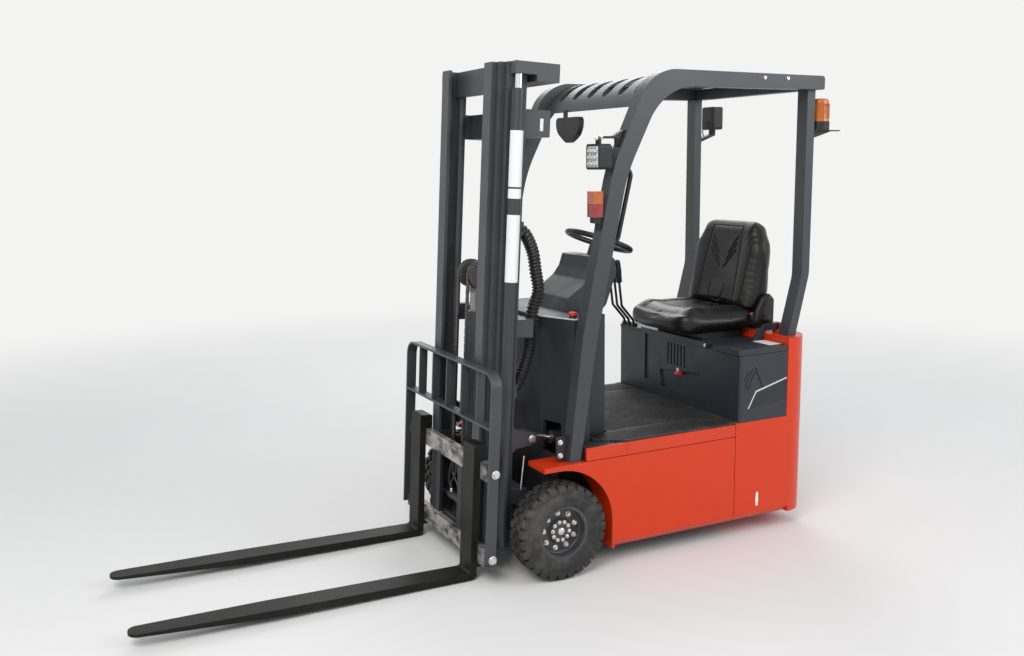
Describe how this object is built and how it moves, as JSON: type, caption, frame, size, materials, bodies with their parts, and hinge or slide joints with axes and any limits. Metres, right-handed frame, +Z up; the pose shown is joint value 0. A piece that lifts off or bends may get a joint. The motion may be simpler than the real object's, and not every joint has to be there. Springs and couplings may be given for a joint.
{
  "type": "forklift truck",
  "caption": "Compact electric counterbalance forklift with a triplex mast, load backrest, two forks, overhead guard, seat and steered rear drive wheel.",
  "frame": {"origin": "middle of the overall box on the ground", "axes": "+X forward to the fork tips, +Y to the driver's left, +Z up"},
  "size_m": [3.018, 0.99, 1.9798],
  "materials": {
    "body_red": "semi-gloss paint",
    "counterweight_red": "semi-gloss paint",
    "guard_grey": "semi-gloss paint",
    "mast_grey": "semi-gloss paint",
    "frame_black": "satin paint",
    "cowl_grey": "moulded grain",
    "housing_grey": "moulded grain",
    "deck_grey": "painted",
    "mat_rubber": "ribbed",
    "tyre": "matte",
    "rim_dark": "satin paint",
    "fork_black": "worn paint",
    "bare_steel": "scratched",
    "chrome_rod": "polished",
    "seat_vinyl": "soft vinyl",
    "black_plastic": "moulded",
    "amber_lens": "clear coloured",
    "signal_lens": "clear coloured",
    "battery": "painted"
  },
  "bodies": {
    "chassis": {"battery_block": "battery", "beacon_lens": "amber_lens", "combination_lamp": "signal_lens", "counterweight": "counterweight_red", "cowl": "cowl_grey", "dash_console": "cowl_grey", "drive_motor": "frame_black", "fitting_brackets": "black_plastic", "floor_deck": "deck_grey", "floor_mat": "mat_rubber", "front_axle": "frame_black", "front_frame": "frame_black", "grab_handle": "black_plastic", "guard_side_left": "guard_grey", "guard_side_right": "guard_grey", "lever_console": "black_plastic", "lever_knobs": "black_plastic", "levers": "frame_black", "mirror": "black_plastic", "pedals": "black_plastic", "rear_housing": "housing_grey", "rear_pillars": "guard_grey", "roof_rear_beam": "guard_grey", "roof_sheet": "guard_grey", "side_frame_left": "body_red", "side_frame_right": "body_red", "steering_column": "black_plastic", "work_lamps": "black_plastic"},
    "front_wheel_left": {"front_tyre_left": "tyre", "front_rim_left": "rim_dark"},
    "front_wheel_right": {"front_tyre_right": "tyre", "front_rim_right": "rim_dark"},
    "steer_unit": {"drive_leg": "rim_dark"},
    "rear_wheel": {"rear_tyre": "tyre", "rear_rim": "rim_dark"},
    "steering_wheel": {"steering_wheel": "black_plastic"},
    "seat_lid": {"seat_deck": "housing_grey", "seat_base": "black_plastic", "seat_cushion": "seat_vinyl", "seat_back": "seat_vinyl"},
    "mast_outer": {"mast_outer": "mast_grey", "mast_lugs": "mast_grey", "lift_cylinders": "frame_black"},
    "mast_middle": {"mast_middle": "mast_grey", "lift_rods": "chrome_rod"},
    "mast_inner": {"mast_inner": "mast_grey", "free_lift_cylinder": "mast_grey"},
    "crosshead": {"crosshead": "bare_steel", "chain_pulleys": "bare_steel", "lift_chains": "bare_steel"},
    "carriage": {"carriage": "frame_black"},
    "side_shift": {"side_shift_frame": "bare_steel", "load_backrest": "mast_grey"},
    "fork_left": {"fork_left": "fork_black"},
    "fork_right": {"fork_right": "fork_black"},
    "tilt_barrel_left": {"tilt_barrel_left": "frame_black"},
    "tilt_barrel_right": {"tilt_barrel_right": "frame_black"},
    "tilt_rod_left": {"tilt_rod_left": "chrome_rod"},
    "tilt_rod_right": {"tilt_rod_right": "chrome_rod"}
  },
  "joints": [
    {"name": "front_left_roll", "type": "hinge", "parent": "chassis", "child": "front_wheel_left", "pos_m": [-0.06902, 0.439, 0.192], "axis": [0, 1, 0], "continuous": true},
    {"name": "front_right_roll", "type": "hinge", "parent": "chassis", "child": "front_wheel_right", "pos_m": [-0.06902, -0.439, 0.192], "axis": [0, 1, 0], "continuous": true},
    {"name": "steer", "type": "hinge", "parent": "chassis", "child": "steer_unit", "pos_m": [-1.06902, 0, 0.4], "axis": [0, 0, 1], "range_deg": [-90, 90]},
    {"name": "rear_roll", "type": "hinge", "parent": "steer_unit", "child": "rear_wheel", "pos_m": [-1.06902, 0, 0.19], "axis": [0, 1, 0], "continuous": true},
    {"name": "steering_wheel_turn", "type": "hinge", "parent": "chassis", "child": "steering_wheel", "pos_m": [-0.52702, 0, 1.268], "axis": [-0.342, 0, 0.9397], "range_deg": [-900, 900]},
    {"name": "seat_lid_lift", "type": "hinge", "parent": "chassis", "child": "seat_lid", "pos_m": [-1.28402, 0, 0.877], "axis": [0, -1, 0], "range_deg": [0, 45]},
    {"name": "mast_tilt", "type": "hinge", "parent": "chassis", "child": "mast_outer", "pos_m": [0.01598, 0, 0.185], "axis": [0, 1, 0], "range_deg": [-1.8, 6.2]},
    {"name": "mast_middle_lift", "type": "slide", "parent": "mast_outer", "child": "mast_middle", "axis": [-0.0558, 0, 0.9984], "range_m": [0, 1.35]},
    {"name": "mast_inner_lift", "type": "slide", "parent": "mast_middle", "child": "mast_inner", "axis": [-0.0558, 0, 0.9984], "range_m": [0, 1.35]},
    {"name": "carriage_lift", "type": "slide", "parent": "mast_inner", "child": "carriage", "axis": [-0.0558, 0, 0.9984], "range_m": [0, 1.2]},
    {"name": "crosshead_lift", "type": "slide", "parent": "mast_inner", "child": "crosshead", "axis": [-0.0558, 0, 0.9984], "range_m": [0, 0.6], "deforming": ["lift_chains"]},
    {"name": "side_shift_slide", "type": "slide", "parent": "carriage", "child": "side_shift", "axis": [0, 1, 0], "range_m": [-0.08, 0.08]},
    {"name": "fork_left_slide", "type": "slide", "parent": "side_shift", "child": "fork_left", "axis": [0, 1, 0], "range_m": [-0.21, 0.028]},
    {"name": "fork_right_slide", "type": "slide", "parent": "side_shift", "child": "fork_right", "axis": [0, 1, 0], "range_m": [-0.028, 0.21]},
    {"name": "tilt_barrel_left_swing", "type": "hinge", "parent": "chassis", "child": "tilt_barrel_left", "pos_m": [-0.33102, 0.26, 0.487], "axis": [0, 1, 0], "range_deg": [-0.211, 0.237]},
    {"name": "tilt_rod_left_stroke", "type": "slide", "parent": "tilt_barrel_left", "child": "tilt_rod_left", "axis": [0.9916, 0, 0.129], "range_m": [-0.01131, 0.03774]},
    {"name": "tilt_barrel_right_swing", "type": "hinge", "parent": "chassis", "child": "tilt_barrel_right", "pos_m": [-0.33102, -0.26, 0.487], "axis": [0, 1, 0], "range_deg": [-0.211, 0.237]},
    {"name": "tilt_rod_right_stroke", "type": "slide", "parent": "tilt_barrel_right", "child": "tilt_rod_right", "axis": [0.9916, 0, 0.129], "range_m": [-0.01131, 0.03774]}
  ],
  "couplings": [
    {"joint": "steer", "follows": "steering_wheel_turn", "ratio": 0.1},
    {"joint": "mast_inner_lift", "follows": "mast_middle_lift", "ratio": 1},
    {"joint": "crosshead_lift", "follows": "carriage_lift", "ratio": 0.5},
    {"joint": "tilt_barrel_left_swing", "follows": "mast_tilt", "ratio": 0.0059},
    {"joint": "tilt_rod_left_stroke", "follows": "mast_tilt", "m_per_rad": 0.34414},
    {"joint": "tilt_barrel_right_swing", "follows": "mast_tilt", "ratio": 0.0059},
    {"joint": "tilt_rod_right_stroke", "follows": "mast_tilt", "m_per_rad": 0.34414}
  ]
}
